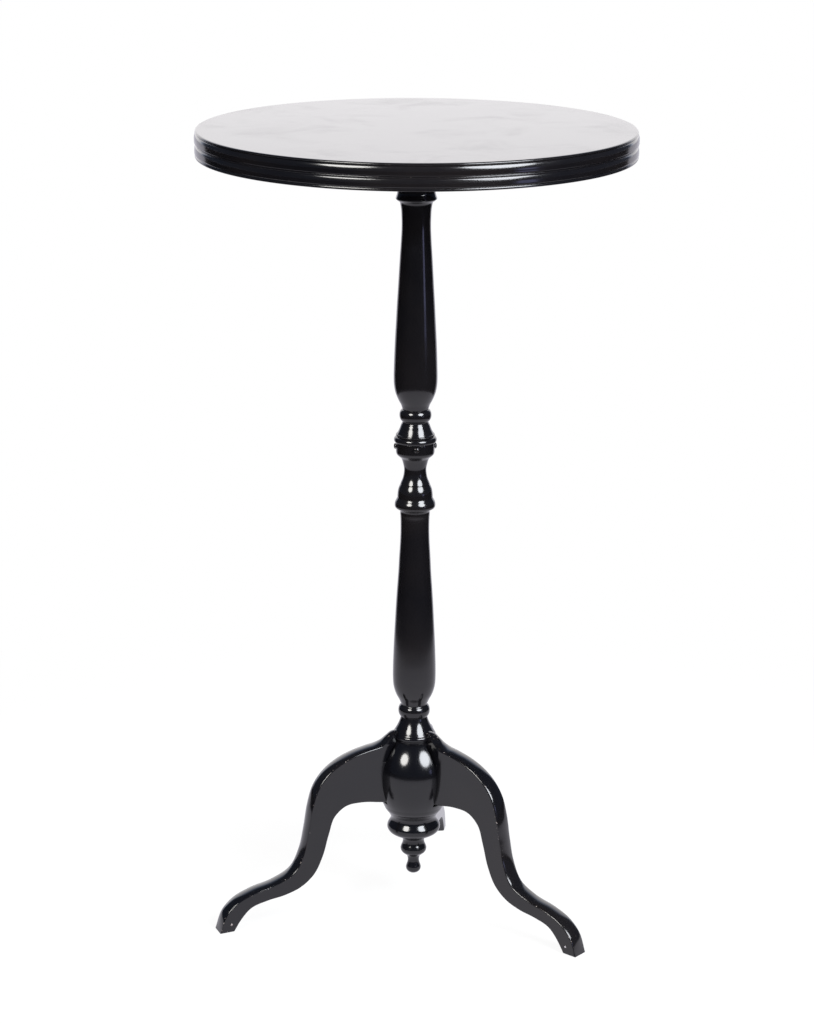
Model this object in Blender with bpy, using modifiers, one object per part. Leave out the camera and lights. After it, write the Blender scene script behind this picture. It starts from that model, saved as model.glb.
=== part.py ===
"""Tilt top table: a round moulded top on a turned two-piece column with three cabriole legs.

The top turns on the pintles of the block at the head of the column, and a brass spring
catch holds it level. Origin: on the floor at the column's axis. +Z is up, the back leg
points to +Y and the top tips towards -Y.
"""
import math

import bmesh
import bpy
from mathutils import Matrix, Vector

MM = 0.001
GAP = 0.3  # clearance between touching pieces, in millimetres like every size below

# Top
TABLE_HEIGHT = 749.0
TOP_RADIUS = 200.0
TOP_THICKNESS = 24.0
TOP_UNDERSIDE = TABLE_HEIGHT - TOP_THICKNESS
TOP_SEGMENTS = 72

# Hinge: pintles on the block's front edge, turning in the two bearers
PIVOT_Y = -55.0
PIVOT_DROP = 8.4
PIVOT_Z = TOP_UNDERSIDE - PIVOT_DROP
PINTLE_RADIUS = 4.5
BLOCK_HALF = 65.0
BLOCK_TOP = TOP_UNDERSIDE - 0.4
BLOCK_BOTTOM = TOP_UNDERSIDE - 16.5
BLOCK_NOSE_RADIUS = BLOCK_TOP - PIVOT_Z

# Bearers: the two rails screwed under the top, one on each side of the block
BEARER_WIDTH = 20.0
BEARER_HALF_LENGTH = 120.0
BEARER_FLAT_FRONT = -64.0
BEARER_FLAT_REAR = 75.0
BEARER_END_DEPTH = 6.0
BEARER_OFFSET = BLOCK_HALF + 0.4 + BEARER_WIDTH / 2
BEARER_SCREW_Y = {"front": -36.0, "middle": 14.0, "rear": 64.0}

# Column
COLUMN_SEGMENTS = 24
HEAD_TENON_RADIUS = 11.0
HEAD_TENON_TOP = BLOCK_TOP - 0.6
SOCKET_TOP = 458.7
SOCKET_RADIUS = 9.3
SOCKET_FLOOR = 440.5
COLLAR_RADIUS = 17.9
COLLAR_SCREW_HEIGHT = 454.6
COLLAR_SCREW_TURN = 12.0
BALL_RADIUS = 36.0
BALL_MIDDLE = 131.0
BALL_SIDE = 55.0
BALL_DROP = 50.4
BALL_FLOOR = 95.8
SPIGOT_RADIUS = 6.0
SPIGOT_TOP = 120.0

# Legs
LEG_AZIMUTHS = {"back": 91.3, "left": 210.0, "right": -30.0}
LEG_THICKNESS = 17.0
LEG_ROOT = 21.3
LEG_ROOT_BOTTOM = 107.4
LEG_EAR_BOTTOM = 168.8
LEG_EAR_TOP = 176.8
LEG_EAR_INNER = 17.6
LEG_HOUSING_TOP = 180.0
TENON_THICKNESS = 9.0
TENON_INNER = 12.0
TENON_BOTTOM = 116.0
TENON_TOP = 152.0
PIN_RADIUS = 1.1
PIN_LENGTH = 6.0
PIN_FROM_AXIS = 187.0
PIN_HEIGHT = 8.0

# Catch: a sliding bolt in a brass case under the top, and a strike plate on the block
CATCH_FRONT = 72.0
CATCH_PLATE_LENGTH = 40.0
CATCH_PLATE_HALF_WIDTH = 22.0
CATCH_PLATE_THICKNESS = 1.7
CATCH_CASE_LENGTH = 36.0
CATCH_CASE_HALF_WIDTH = 10.0
CATCH_CASE_BOTTOM = 713.6
BOLT_HALF_WIDTH = 6.0
BOLT_BOTTOM = 717.5
BOLT_TOP = 720.5
BOLT_TIP = 62.0
BOLT_LENGTH = 36.0
BOLT_TRAVEL = 7.0
BOLT_MOUTH_HALF_WIDTH = 7.4
BOLT_MOUTH_SPARE = 0.8
KNOB_WAY_HALF_WIDTH = 2.8
KNOB_Y = 84.0
STRIKE_THICKNESS = 1.5
STRIKE_HALF_WIDTH = 16.0
STRIKE_BOTTOM = 712.5
STRIKE_TOP = 723.7
STRIKE_SCREW_X = 11.8
CATCH_SCREW_PLACES = {
    "front_left": (-17.0, 77.0),
    "front_right": (17.0, 77.0),
    "rear_left": (-17.0, 107.0),
    "rear_right": (17.0, 107.0),
}

# Base colour, roughness and metallic value of each finish
FINISHES = {
    "lacquer": ((0.012, 0.012, 0.014, 1.0), 0.12, 0.0),
    "brass": ((0.62, 0.45, 0.18, 1.0), 0.28, 1.0),
    "steel": ((0.30, 0.30, 0.32, 1.0), 0.32, 1.0),
    "bare_wood": ((0.30, 0.17, 0.08, 1.0), 0.6, 0.0),
}


def clear_scene():
    for item in list(bpy.data.objects):
        bpy.data.objects.remove(item, do_unlink=True)


def make_collection(name):
    collection = bpy.data.collections.new(name)
    bpy.context.scene.collection.children.link(collection)
    return collection


def finish_material(node, finish):
    colour, roughness, metallic = FINISHES[finish]
    material = bpy.data.materials.new(f"{node}_{finish}")
    material.use_nodes = True
    shader = material.node_tree.nodes["Principled BSDF"]
    shader.inputs["Base Color"].default_value = colour
    shader.inputs["Roughness"].default_value = roughness
    shader.inputs["Metallic"].default_value = metallic
    return material


def metres(*sizes):
    return Vector(sizes) * MM


def add_part(name, data, finish, place=(0, 0, 0), parent=None):
    """A node at a place in the table's frame, in millimetres, with its own material."""
    item = bpy.data.objects.new(name, data)
    parts.objects.link(item)
    item.location = metres(*place)
    if parent is not None:
        item.location -= parent.location
        item.parent = parent
    if len(data.materials) == 0:
        data.materials.append(finish_material(name, finish))
    return item


def add_cutter(name, build, parent=None):
    """A closed mesh that a Boolean cuts or joins with; build fills its bmesh."""
    mesh = bpy.data.meshes.new(name)
    shape = bmesh.new()
    build(shape)
    shape.to_mesh(mesh)
    shape.free()
    item = bpy.data.objects.new(name, mesh)
    cutters.objects.link(item)
    item.hide_render = True
    item.display_type = "WIRE"
    if parent is not None:
        item.location = -parent.location
        item.parent = parent
    return item


def boolean(item, tool, operation):
    modifier = item.modifiers.new(f"{operation.lower()}_{tool.name}", "BOOLEAN")
    modifier.operation = operation
    modifier.solver = "EXACT"
    modifier.object = tool


def add_box(shape, low, high, azimuth=0.0):
    """A box between two corners given in millimetres, then turned about the Z axis."""
    low, high = metres(*low), metres(*high)
    turn = Matrix.Rotation(math.radians(azimuth), 4, "Z")
    size = Matrix.Diagonal((*(high - low), 1.0))
    matrix = turn @ Matrix.Translation((low + high) / 2) @ size
    bmesh.ops.create_cube(shape, size=1.0, matrix=matrix)


def add_rod(shape, start, end, radius, segments=12):
    """A cylinder between two points given in millimetres."""
    start, end = metres(*start), metres(*end)
    along = end - start
    turn = along.to_track_quat("Z", "Y").to_matrix().to_4x4()
    bmesh.ops.create_cone(
        shape,
        cap_ends=True,
        segments=segments,
        radius1=radius * MM,
        radius2=radius * MM,
        depth=along.length,
        matrix=Matrix.Translation((start + end) / 2) @ turn,
    )


def box_mesh(name, low, high):
    mesh = bpy.data.meshes.new(name)
    shape = bmesh.new()
    add_box(shape, low, high)
    shape.to_mesh(mesh)
    shape.free()
    return mesh


def arc(centre_r, centre_z, radius_r, radius_z, start, end, steps):
    """Profile points on an elliptical arc; angles in degrees, 0 outwards and 90 up."""
    points = []
    for step in range(steps + 1):
        angle = math.radians(start + (end - start) * step / steps)
        point_r = centre_r + radius_r * math.cos(angle)
        point_z = centre_z + radius_z * math.sin(angle)
        points.append((point_r, point_z))
    return points


def profile_mesh(name, profile):
    """An open line of edges through (radius, height) points, ready for the Screw modifier."""
    mesh = bpy.data.meshes.new(name)
    shape = bmesh.new()
    previous = None
    for radius, height in profile:
        vertex = shape.verts.new(metres(radius, 0, height))
        if previous is not None:
            shape.edges.new((previous, vertex))
        previous = vertex
    shape.to_mesh(mesh)
    shape.free()
    return mesh


def turn_profile(item, segments):
    """Sweep a profile once round its own Z axis."""
    screw = item.modifiers.new("turning", "SCREW")
    screw.axis = "Z"
    screw.steps = segments
    screw.render_steps = segments
    screw.use_merge_vertices = True
    screw.merge_threshold = 0.00001


def add_turned(name, profile, finish, segments, place=(0, 0, 0), parent=None):
    item = add_part(name, profile_mesh(name, profile), finish, place, parent)
    turn_profile(item, segments)
    return item


def outline_mesh(name, points, thickness, corners, resolution):
    """A plate with the outline in its own XY plane and its thickness along Z.

    Points are (x, y) in millimetres. The numbers in corners stay sharp and the rest are
    rounded; with resolution 1 every span is straight.
    """
    curve = bpy.data.curves.new(name, "CURVE")
    curve.dimensions = "2D"
    curve.fill_mode = "BOTH"
    curve.extrude = thickness / 2 * MM
    curve.resolution_u = resolution
    spline = curve.splines.new("BEZIER")
    spline.bezier_points.add(len(points) - 1)
    spline.use_cyclic_u = True
    for number, (point, (x, y)) in enumerate(zip(spline.bezier_points, points)):
        point.co = metres(x, y, 0)
        handle = "VECTOR" if number in corners or resolution == 1 else "AUTO"
        point.handle_left_type = handle
        point.handle_right_type = handle
    holder = bpy.data.objects.new(name, curve)
    cutters.objects.link(holder)
    evaluated = holder.evaluated_get(bpy.context.evaluated_depsgraph_get())
    mesh = bpy.data.meshes.new_from_object(evaluated)
    bpy.data.objects.remove(holder)
    shape = bmesh.new()
    shape.from_mesh(mesh)
    bmesh.ops.remove_doubles(shape, verts=shape.verts, dist=0.00001)
    bmesh.ops.recalc_face_normals(shape, faces=shape.faces)
    shape.to_mesh(mesh)
    shape.free()
    mesh.name = name
    return mesh


def stand_up(item, azimuth):
    """Turn a plate so that its X points outwards at the azimuth and its Y points up."""
    item.rotation_euler = (math.radians(90), 0, math.radians(azimuth))


def screw_profile(head_radius, head_height, shank_radius, shank_length):
    """A dome-head screw standing on its head's underside, with the shank pointing up."""
    dome = arc(0, 0, head_radius, head_height, 0, -90, 4)
    return [(0, shank_length), (shank_radius, shank_length), (shank_radius, 0), *dome]


# ---------------------------------------------------------------- top

def top_profile():
    """A small arris, an ovolo, a bead over a second slope and a plain foot."""
    high = TABLE_HEIGHT
    edge = TOP_RADIUS
    return [
        (0, high),
        (edge - 2.4, high),
        (edge - 0.8, high - 1.2),
        (edge - 1.7, high - 2.3),
        (edge - 0.6, high - 4.8),
        (edge, high - 7.0),
        (edge - 0.2, high - 10.8),
        (edge - 1.6, high - 11.6),
        (edge - 0.9, high - 12.4),
        (edge - 1.5, high - 13.1),
        (edge - 0.4, high - 16.6),
        (edge - 0.4, high - 20.8),
        (edge - 1.2, high - 21.5),
        (edge - 0.6, high - 23.2),
        (edge - 1.4, TOP_UNDERSIDE),
        (0, TOP_UNDERSIDE),
    ]


BEARER_SCREW = {"head_radius": 4.0, "head_height": 2.2, "shank_radius": 2.0}
BEARER_SCREW_REACH = 12.0
SMALL_SCREW = {"head_radius": 3.1, "head_height": 1.5, "shank_radius": 1.5}
CATCH_SCREW_REACH = 8.0


def add_top(pivot):
    top = add_turned("top_board", top_profile(), "lacquer", TOP_SEGMENTS, parent=pivot)

    def pilot_holes(shape):
        radius = BEARER_SCREW["shank_radius"] + GAP
        roof = TOP_UNDERSIDE + BEARER_SCREW_REACH + 1
        for side in (-1, 1):
            for y in BEARER_SCREW_Y.values():
                x = side * BEARER_OFFSET
                add_rod(shape, (x, y, TOP_UNDERSIDE - 1), (x, y, roof), radius, 8)
        radius = SMALL_SCREW["shank_radius"] + GAP
        roof = TOP_UNDERSIDE + CATCH_SCREW_REACH + 1
        for x, y in CATCH_SCREW_PLACES.values():
            add_rod(shape, (x, y, TOP_UNDERSIDE - 1), (x, y, roof), radius, 8)

    boolean(top, add_cutter("top_pilot_holes", pilot_holes, pivot), "DIFFERENCE")


def add_bearers(pivot):
    """Rails with tapered ends; the front hole of each turns on a pintle of the block."""
    top = TOP_UNDERSIDE - GAP
    outline = [
        (-BEARER_HALF_LENGTH, top),
        (-BEARER_HALF_LENGTH, top - BEARER_END_DEPTH),
        (BEARER_FLAT_FRONT, BLOCK_BOTTOM),
        (BEARER_FLAT_REAR, BLOCK_BOTTOM),
        (BEARER_HALF_LENGTH, top - BEARER_END_DEPTH),
        (BEARER_HALF_LENGTH, top),
    ]
    shank = BEARER_SCREW["shank_radius"]
    head_rest = BLOCK_BOTTOM - GAP
    shank_length = TOP_UNDERSIDE + BEARER_SCREW_REACH - head_rest
    screw = profile_mesh("bearer_screw", screw_profile(**BEARER_SCREW, shank_length=shank_length))
    for side, word in ((-1, "left"), (1, "right")):
        centre = side * BEARER_OFFSET
        name = f"bearer_{word}"
        mesh = outline_mesh(name, outline, BEARER_WIDTH, (), 1)
        bearer = add_part(name, mesh, "lacquer", (centre, 0, 0), pivot)
        stand_up(bearer, 90)

        def holes(shape):
            reach = BEARER_WIDTH / 2 + 1
            start = (centre - reach, PIVOT_Y, PIVOT_Z)
            end = (centre + reach, PIVOT_Y, PIVOT_Z)
            add_rod(shape, start, end, PINTLE_RADIUS + GAP, 24)
            for y in BEARER_SCREW_Y.values():
                low = (centre, y, BLOCK_BOTTOM - 1)
                high = (centre, y, TOP_UNDERSIDE + 1)
                add_rod(shape, low, high, shank + GAP, 8)

        boolean(bearer, add_cutter(f"{name}_holes", holes, pivot), "DIFFERENCE")
        for end, y in BEARER_SCREW_Y.items():
            place = (centre, y, head_rest)
            item = add_part(f"bearer_screw_{word}_{end}", screw, "steel", place, pivot)
            turn_profile(item, 12)


# ---------------------------------------------------------------- catch

def add_catch(pivot, slide):
    """A brass case under the top, with a bolt that the knob pulls back."""
    plate_top = TOP_UNDERSIDE - GAP
    plate_bottom = plate_top - CATCH_PLATE_THICKNESS
    case_end = CATCH_FRONT + CATCH_CASE_LENGTH
    plate_end = CATCH_FRONT + CATCH_PLATE_LENGTH
    low = (-CATCH_PLATE_HALF_WIDTH, CATCH_FRONT, plate_bottom)
    high = (CATCH_PLATE_HALF_WIDTH, plate_end, plate_top)
    plate = add_part("catch_plate", box_mesh("catch_plate", low, high), "brass", parent=pivot)

    def case(shape):
        low = (-CATCH_CASE_HALF_WIDTH, CATCH_FRONT, CATCH_CASE_BOTTOM)
        high = (CATCH_CASE_HALF_WIDTH, case_end, plate_bottom + 0.5)
        add_box(shape, low, high)

    def bolt_way(shape):
        half = BOLT_HALF_WIDTH + GAP
        low = (-half, CATCH_FRONT - 2, BOLT_BOTTOM - GAP)
        high = (half, case_end - 2, BOLT_TOP + GAP)
        add_box(shape, low, high)

    def knob_way(shape):
        half = KNOB_WAY_HALF_WIDTH
        low = (-half, KNOB_Y - half, CATCH_CASE_BOTTOM - 1)
        high = (half, KNOB_Y + BOLT_TRAVEL + half, BOLT_BOTTOM)
        add_box(shape, low, high)

    def screw_holes(shape):
        for x, y in CATCH_SCREW_PLACES.values():
            radius = SMALL_SCREW["shank_radius"] + GAP
            add_rod(shape, (x, y, plate_bottom - 1), (x, y, plate_top + 1), radius, 8)

    boolean(plate, add_cutter("catch_case", case, pivot), "UNION")
    boolean(plate, add_cutter("catch_bolt_way", bolt_way, pivot), "DIFFERENCE")
    boolean(plate, add_cutter("catch_knob_way", knob_way, pivot), "DIFFERENCE")
    boolean(plate, add_cutter("catch_screw_holes", screw_holes, pivot), "DIFFERENCE")

    low = (-BOLT_HALF_WIDTH, BOLT_TIP, BOLT_BOTTOM)
    high = (BOLT_HALF_WIDTH, BOLT_TIP + BOLT_LENGTH, BOLT_TOP)
    bolt = add_part("catch_bolt", box_mesh("catch_bolt", low, high), "brass", parent=slide)

    def stud_hole(shape):
        add_rod(shape, (0, KNOB_Y, BOLT_BOTTOM - 1), (0, KNOB_Y, BOLT_TOP + 1), 1.8, 10)

    boolean(bolt, add_cutter("bolt_stud_hole", stud_hole, slide), "DIFFERENCE")
    knob = [
        (0, BOLT_TOP - 0.5),
        (1.5, BOLT_TOP - 0.5),
        (1.5, BOLT_BOTTOM - GAP),
        (2.4, BOLT_BOTTOM - GAP),
        (2.4, 711.4),
        (5.6, 711.4),
        (7.0, 710.2),
        (7.0, 707.6),
        (5.2, 706.0),
        (0, 705.4),
    ]
    add_turned("catch_knob", knob, "brass", 16, (0, KNOB_Y, 0), slide)

    head_rest = plate_bottom - GAP
    shank_length = TOP_UNDERSIDE + CATCH_SCREW_REACH - head_rest
    screw = profile_mesh("catch_screw", screw_profile(**SMALL_SCREW, shank_length=shank_length))
    for corner, (x, y) in CATCH_SCREW_PLACES.items():
        item = add_part(f"catch_screw_{corner}", screw, "brass", (x, y, head_rest), pivot)
        turn_profile(item, 10)


def add_strike():
    """The plate on the block's rear edge that the bolt enters."""
    front = BLOCK_HALF + GAP
    back = front + STRIKE_THICKNESS
    low = (-STRIKE_HALF_WIDTH, front, STRIKE_BOTTOM)
    high = (STRIKE_HALF_WIDTH, back, STRIKE_TOP)
    plate = add_part("strike_plate", box_mesh("strike_plate", low, high), "brass")

    def openings(shape):
        half = BOLT_MOUTH_HALF_WIDTH
        low = (-half, front - 1, BOLT_BOTTOM - BOLT_MOUTH_SPARE)
        add_box(shape, low, (half, back + 1, BOLT_TOP + BOLT_MOUTH_SPARE))
        for side in (-1, 1):
            x = side * STRIKE_SCREW_X
            middle = (BOLT_BOTTOM + BOLT_TOP) / 2
            add_rod(shape, (x, front - 1, middle), (x, back + 1, middle), 1.8, 8)

    boolean(plate, add_cutter("strike_openings", openings), "DIFFERENCE")
    screw = profile_mesh("strike_screw", screw_profile(2.8, 1.3, 1.5, 11.0))
    for side, word in ((-1, "left"), (1, "right")):
        place = (side * STRIKE_SCREW_X, back + GAP, (BOLT_BOTTOM + BOLT_TOP) / 2)
        item = add_part(f"strike_screw_{word}", screw, "brass", place)
        item.rotation_euler = (math.radians(90), 0, 0)
        turn_profile(item, 10)


# ---------------------------------------------------------------- block and column

def add_block():
    """The block at the column's head, with a pintle at each end of its front edge."""
    nose = arc(PIVOT_Y, PIVOT_Z, BLOCK_NOSE_RADIUS, BLOCK_NOSE_RADIUS, 90, 180, 6)
    front = PIVOT_Y - BLOCK_NOSE_RADIUS
    outline = [*nose, (front, BLOCK_BOTTOM), (BLOCK_HALF, BLOCK_BOTTOM), (BLOCK_HALF, BLOCK_TOP)]
    mesh = outline_mesh("pivot_block", outline, 2 * BLOCK_HALF, (), 1)
    block = add_part("pivot_block", mesh, "lacquer")
    stand_up(block, 90)

    def pintles(shape):
        reach = BEARER_OFFSET + BEARER_WIDTH / 2 - 0.5
        add_rod(shape, (-reach, PIVOT_Y, PIVOT_Z), (reach, PIVOT_Y, PIVOT_Z), PINTLE_RADIUS, 24)

    def openings(shape):
        hole = HEAD_TENON_RADIUS + GAP
        add_rod(shape, (0, 0, BLOCK_BOTTOM - 1), (0, 0, BLOCK_TOP + 1), hole, COLUMN_SEGMENTS)
        half = BOLT_MOUTH_HALF_WIDTH
        low = (-half, BOLT_TIP - 3, BOLT_BOTTOM - BOLT_MOUTH_SPARE)
        add_box(shape, low, (half, BLOCK_HALF + 1, BOLT_TOP + BOLT_MOUTH_SPARE))
        middle = (BOLT_BOTTOM + BOLT_TOP) / 2
        for side in (-1, 1):
            x = side * STRIKE_SCREW_X
            add_rod(shape, (x, BLOCK_HALF - 11, middle), (x, BLOCK_HALF + 1, middle), 1.8, 8)

    boolean(block, add_cutter("block_pintles", pintles), "UNION")
    boolean(block, add_cutter("block_openings", openings), "DIFFERENCE")


def add_wedge():
    """The wedge that spreads the column's head tenon in the block."""
    low = (-0.6, -HEAD_TENON_RADIUS + 1, HEAD_TENON_TOP - 13)
    high = (0.6, HEAD_TENON_RADIUS - 1, HEAD_TENON_TOP - 0.2)
    mesh = box_mesh("block_wedge", low, high)
    for vertex in mesh.vertices:
        if vertex.co.z < (HEAD_TENON_TOP - 6) * MM:
            vertex.co.x *= 0.5
    add_part("block_wedge", mesh, "bare_wood")


def upper_column_profile():
    return [
        (0, HEAD_TENON_TOP),
        (HEAD_TENON_RADIUS, HEAD_TENON_TOP),
        (HEAD_TENON_RADIUS, BLOCK_BOTTOM - GAP),
        (21.0, BLOCK_BOTTOM - GAP),
        (21.0, 701.4),
        (18.6, 697.6),
        (17.3, 694.0),
        (17.3, 690.8),
        (18.75, 686.0),
        (18.3, 684.5),
        (15.4, 682.6),
        (14.3, 679.6),
        (13.7, 674.0),
        (13.3, 664.0),
        (13.8, 648.0),
        (15.1, 627.0),
        (16.6, 600.0),
        (18.1, 573.0),
        (19.4, 547.0),
        (20.2, 521.0),
        (19.8, 512.0),
        (18.2, 503.5),
        (15.3, 497.3),
        (12.0, 490.6),
        *arc(11.2, 483.3, 3.6, 5.6, 60, -60, 4),
        (12.0, 477.2),
        (13.1, 475.2),
        (14.6, 471.4),
        (16.9, 466.6),
        (18.0, 465.6),
        (17.8, 464.4),
        (19.3, 462.8),
        (19.75, 460.8),
        (19.2, SOCKET_TOP + GAP),
        (SOCKET_RADIUS - GAP, SOCKET_TOP + GAP),
        (SOCKET_RADIUS - GAP, SOCKET_FLOOR + 0.5),
        (0, SOCKET_FLOOR + 0.5),
    ]


def lower_column_profile():
    return [
        (0, SOCKET_FLOOR),
        (SOCKET_RADIUS, SOCKET_FLOOR),
        (SOCKET_RADIUS, SOCKET_TOP),
        (COLLAR_RADIUS, SOCKET_TOP),
        (COLLAR_RADIUS, 449.4),
        (17.0, 446.7),
        (12.8, 442.7),
        (11.2, 438.2),
        (10.3, 432.4),
        (10.9, 426.4),
        (11.9, 422.6),
        (13.4, 418.6),
        (13.8, 417.7),
        (15.3, 413.8),
        (16.2, 409.6),
        (16.4, 405.4),
        (18.1, 402.2),
        (18.9, 398.4),
        (18.4, 396.0),
        (13.9, 393.0),
        (13.3, 379.0),
        (13.9, 360.0),
        (15.4, 334.0),
        (17.2, 306.0),
        (18.8, 276.0),
        (19.9, 248.0),
        (20.3, 232.0),
        (19.7, 221.5),
        (17.4, 213.2),
        (12.1, 203.5),
        *arc(11.3, 196.3, 3.6, 6.0, 60, -60, 4),
        (12.1, 189.7),
        (14.5, 183.6),
        (17.2, 178.2),
        (19.3, 173.8),
        (20.7, 171.4),
        (20.2, 168.2),
        *arc(BALL_RADIUS - BALL_SIDE, BALL_MIDDLE, BALL_SIDE, BALL_SIDE, 42, 0, 6),
        *arc(0, BALL_MIDDLE, BALL_RADIUS, BALL_DROP, -8, -36, 4),
        (27.6, 98.6),
        (25.4, BALL_FLOOR),
        (SPIGOT_RADIUS + GAP, BALL_FLOOR),
        (SPIGOT_RADIUS + GAP, SPIGOT_TOP + 1),
        (0, SPIGOT_TOP + 1),
    ]


def finial_profile():
    return [
        (0, SPIGOT_TOP),
        (SPIGOT_RADIUS, SPIGOT_TOP),
        (SPIGOT_RADIUS, BALL_FLOOR - GAP),
        (24.6, BALL_FLOOR - GAP),
        (23.6, 93.6),
        (21.8, 90.6),
        (21.5, 88.6),
        (22.8, 85.2),
        (24.8, 81.8),
        (25.2, 79.0),
        (24.0, 75.2),
        (19.0, 70.8),
        (11.8, 68.0),
        (10.1, 64.5),
        (11.2, 60.0),
        (12.5, 56.4),
        (11.6, 53.2),
        (6.6, 49.4),
        (5.3, 45.5),
        (5.9, 40.4),
        (7.1, 36.6),
        (5.8, 32.4),
        (0, 30.6),
    ]


def collar_angles():
    return [COLLAR_SCREW_TURN + 90 * number for number in range(4)]


def radial_point(angle, radius, height):
    angle = math.radians(angle)
    return (radius * math.cos(angle), radius * math.sin(angle), height)


def add_column():
    upper = add_turned("upper_column", upper_column_profile(), "lacquer", COLUMN_SEGMENTS)
    lower = add_turned("lower_column", lower_column_profile(), "lacquer", COLUMN_SEGMENTS)
    add_turned("drop_finial", finial_profile(), "lacquer", COLUMN_SEGMENTS)

    def head_kerf(shape):
        reach = HEAD_TENON_RADIUS + 1
        add_box(shape, (-0.9, -reach, HEAD_TENON_TOP - 13.6), (0.9, reach, HEAD_TENON_TOP + 1))

    def collar_holes(shape):
        for angle in collar_angles():
            start = radial_point(angle, 6.0, COLLAR_SCREW_HEIGHT)
            end = radial_point(angle, COLLAR_RADIUS + 3, COLLAR_SCREW_HEIGHT)
            add_rod(shape, start, end, 1.5 + GAP, 8)

    def leg_housings(shape):
        half = LEG_THICKNESS / 2 + GAP
        low = (LEG_ROOT - GAP, -half, LEG_ROOT_BOTTOM - GAP)
        for azimuth in LEG_AZIMUTHS.values():
            add_box(shape, low, (BALL_RADIUS + 5, half, LEG_HOUSING_TOP), azimuth)

    def leg_mortises(shape):
        half = TENON_THICKNESS / 2 + GAP
        low = (TENON_INNER - GAP, -half, TENON_BOTTOM - GAP)
        high = (LEG_ROOT + 3, half, TENON_TOP + GAP)
        for azimuth in LEG_AZIMUTHS.values():
            add_box(shape, low, high, azimuth)

    boolean(upper, add_cutter("head_kerf", head_kerf), "DIFFERENCE")
    holes = add_cutter("collar_holes", collar_holes)
    boolean(upper, holes, "DIFFERENCE")
    boolean(lower, holes, "DIFFERENCE")
    boolean(lower, add_cutter("leg_housings", leg_housings), "DIFFERENCE")
    boolean(lower, add_cutter("leg_mortises", leg_mortises), "DIFFERENCE")

    screw = profile_mesh("collar_screw", screw_profile(2.8, 1.8, 1.5, 11.0))
    for word, angle in zip(("right", "back", "left", "front"), collar_angles()):
        place = radial_point(angle, COLLAR_RADIUS + GAP, COLLAR_SCREW_HEIGHT)
        item = add_part(f"collar_screw_{word}", screw, "steel", place)
        item.rotation_euler = (0, math.radians(-90), math.radians(angle))
        turn_profile(item, 10)


# ---------------------------------------------------------------- legs

# The leg's outline as (distance from the column's axis, height), up its inner side
# from the sole and down its outer side from the ear beside the column's base ring
LEG_INNER = [
    (177.0, 10.5),
    (167.0, 20.8),
    (151.0, 26.0),
    (133.0, 29.2),
    (116.5, 35.3),
    (103.5, 46.4),
    (95.0, 63.0),
    (88.5, 85.0),
    (82.5, 101.6),
    (72.0, 110.2),
    (56.0, 112.0),
    (38.0, 109.8),
]
LEG_OUTER = [
    (22.4, 176.4),
    (27.6, 172.8),
    (32.4, 169.0),
    (38.0, 166.4),
    (48.0, 164.4),
    (62.0, 160.8),
    (78.0, 154.2),
    (91.0, 144.4),
    (100.5, 131.4),
    (106.0, 114.0),
    (110.0, 91.0),
    (115.0, 69.0),
    (123.5, 52.5),
    (141.0, 43.0),
    (164.0, 36.8),
    (181.0, 29.2),
    (193.0, 17.0),
]
SOLE_INNER = (183.8, 0.0)
SOLE_OUTER = (197.8, 0.0)


def leg_mesh():
    """A leg sawn from a plank: X runs outwards and Y up, with its arrises rounded."""
    root = [
        (LEG_ROOT, LEG_ROOT_BOTTOM),
        (LEG_ROOT, LEG_EAR_BOTTOM),
        (LEG_EAR_INNER, LEG_EAR_BOTTOM),
        (LEG_EAR_INNER, LEG_EAR_TOP),
    ]
    outline = [SOLE_INNER, *LEG_INNER, *root, *LEG_OUTER, SOLE_OUTER]
    first_root = 1 + len(LEG_INNER)
    corners = (0, *range(first_root, first_root + len(root)), len(outline) - 1)
    return outline_mesh("leg", outline, LEG_THICKNESS, corners, 2)


def ring_cope():
    """Just outside the column's base ring and bell, for the ears to fit round.

    It runs from the top down, so that the swept faces look outwards.
    """
    return [
        (0, 178.8),
        (LEG_EAR_INNER, 178.8),
        (19.8, 174.2),
        (21.1, 171.8),
        (21.1, 160.0),
        (0, 160.0),
    ]


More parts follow.
